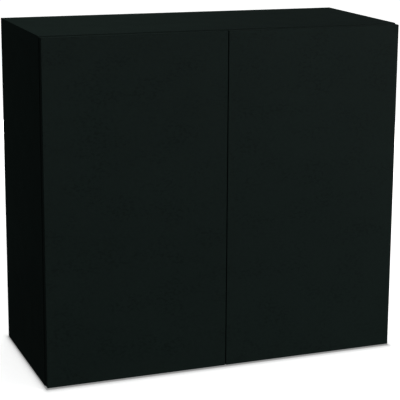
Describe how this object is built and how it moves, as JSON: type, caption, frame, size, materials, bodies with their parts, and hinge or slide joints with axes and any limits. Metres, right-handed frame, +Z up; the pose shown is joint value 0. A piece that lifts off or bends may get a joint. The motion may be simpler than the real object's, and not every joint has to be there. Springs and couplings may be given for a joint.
{
  "type": "aquarium stand cabinet",
  "caption": "Low handleless black cabinet with a flat top that carries a tank, full-overlay doors on concealed hinges, push-to-open latches and an adjustable shelf.",
  "frame": {"origin": "on the floor, at the centre of the footprint", "axes": "+X to the right along the front, +Y from the doors to the back, +Z up; the doors face -Y"},
  "size_m": [0.8, 0.352, 0.738],
  "materials": {
    "black_board": "satin black melamine-faced chipboard",
    "black_edge": "satin black ABS edge band",
    "zinc_cast": "zinc die-cast, dull",
    "bright_steel": "nickel-plated steel, satin bright",
    "dark_plastic": "moulded black plastic",
    "beech": "raw beech",
    "glide_plastic": "dark plastic glide",
    "buffer_plastic": "grey moulded plastic"
  },
  "bodies": {
    "carcass": {"top_panel": "black_board", "left_side_panel": "black_board", "right_side_panel": "black_board", "bottom_panel": "black_board", "centre_divider": "black_board", "back_panel": "black_board", "carcass_edging": "black_edge", "shelf_pins": "bright_steel", "cam_locks": "zinc_cast", "cam_bolts": "bright_steel", "cam_caps": "dark_plastic", "dowels": "beech", "divider_screws": "bright_steel", "glides": "glide_plastic", "hinge_plates": "bright_steel", "plate_screws": "bright_steel", "hinge_arms": "bright_steel", "arm_pins": "bright_steel", "hinge_adjusters": "bright_steel", "latch_housings": "dark_plastic", "latch_screws": "bright_steel"},
    "shelf": {"shelf": "black_board", "shelf_edging": "black_edge"},
    "left_door": {"left_door_panel": "black_board", "left_door_edging": "black_edge", "left_hinge_cups": "bright_steel", "left_cup_pins": "bright_steel", "left_cup_screws": "bright_steel", "left_strike_plate": "bright_steel", "left_strike_screw": "bright_steel"},
    "left_outer_links": {"left_outer_links": "bright_steel"},
    "left_inner_links": {"left_inner_links": "bright_steel"},
    "left_plunger": {"left_latch_plunger": "buffer_plastic"},
    "right_door": {"right_door_panel": "black_board", "right_door_edging": "black_edge", "right_hinge_cups": "bright_steel", "right_cup_pins": "bright_steel", "right_cup_screws": "bright_steel", "right_strike_plate": "bright_steel", "right_strike_screw": "bright_steel"},
    "right_outer_links": {"right_outer_links": "bright_steel"},
    "right_inner_links": {"right_inner_links": "bright_steel"},
    "right_plunger": {"right_latch_plunger": "buffer_plastic"}
  },
  "joints": [
    {"name": "shelf_lift", "type": "slide", "parent": "carcass", "child": "shelf", "axis": [0, 0, 1], "range_m": [0, 0.15]},
    {"name": "left_outer_link_pivot", "type": "hinge", "parent": "carcass", "child": "left_outer_links", "pos_m": [-0.36165, -0.145, 0.103], "axis": [0, 0, 1], "range_deg": [0, 29.17]},
    {"name": "left_door_swing", "type": "hinge", "parent": "left_outer_links", "child": "left_door", "pos_m": [-0.3888, -0.1616, 0.103], "axis": [0, 0, -1], "range_deg": [0, 124.07]},
    {"name": "left_inner_link_pivot", "type": "hinge", "parent": "left_door", "child": "left_inner_links", "pos_m": [-0.38485, -0.16545, 0.103], "axis": [0, 0, 1], "range_deg": [0, 133.1]},
    {"name": "left_plunger_slide", "type": "slide", "parent": "carcass", "child": "left_plunger", "axis": [0, -1, 0], "range_m": [0, 0.0201]},
    {"name": "right_outer_link_pivot", "type": "hinge", "parent": "carcass", "child": "right_outer_links", "pos_m": [0.36165, -0.145, 0.103], "axis": [0, 0, -1], "range_deg": [0, 29.17]},
    {"name": "right_door_swing", "type": "hinge", "parent": "right_outer_links", "child": "right_door", "pos_m": [0.3888, -0.1616, 0.103], "axis": [0, 0, 1], "range_deg": [0, 124.07]},
    {"name": "right_inner_link_pivot", "type": "hinge", "parent": "right_door", "child": "right_inner_links", "pos_m": [0.38485, -0.16545, 0.103], "axis": [0, 0, -1], "range_deg": [0, 133.1]},
    {"name": "right_plunger_slide", "type": "slide", "parent": "carcass", "child": "right_plunger", "axis": [0, -1, 0], "range_m": [0, 0.0201]}
  ],
  "couplings": [
    {"joint": "left_outer_link_pivot", "follows": "left_door_swing", "ratio": 0.2343},
    {"joint": "left_inner_link_pivot", "follows": "left_door_swing", "ratio": 1.072},
    {"joint": "left_plunger_slide", "follows": "left_door_swing", "m_per_rad": 0.009236},
    {"joint": "right_outer_link_pivot", "follows": "right_door_swing", "ratio": 0.2343},
    {"joint": "right_inner_link_pivot", "follows": "right_door_swing", "ratio": 1.072},
    {"joint": "right_plunger_slide", "follows": "right_door_swing", "m_per_rad": 0.009236}
  ]
}
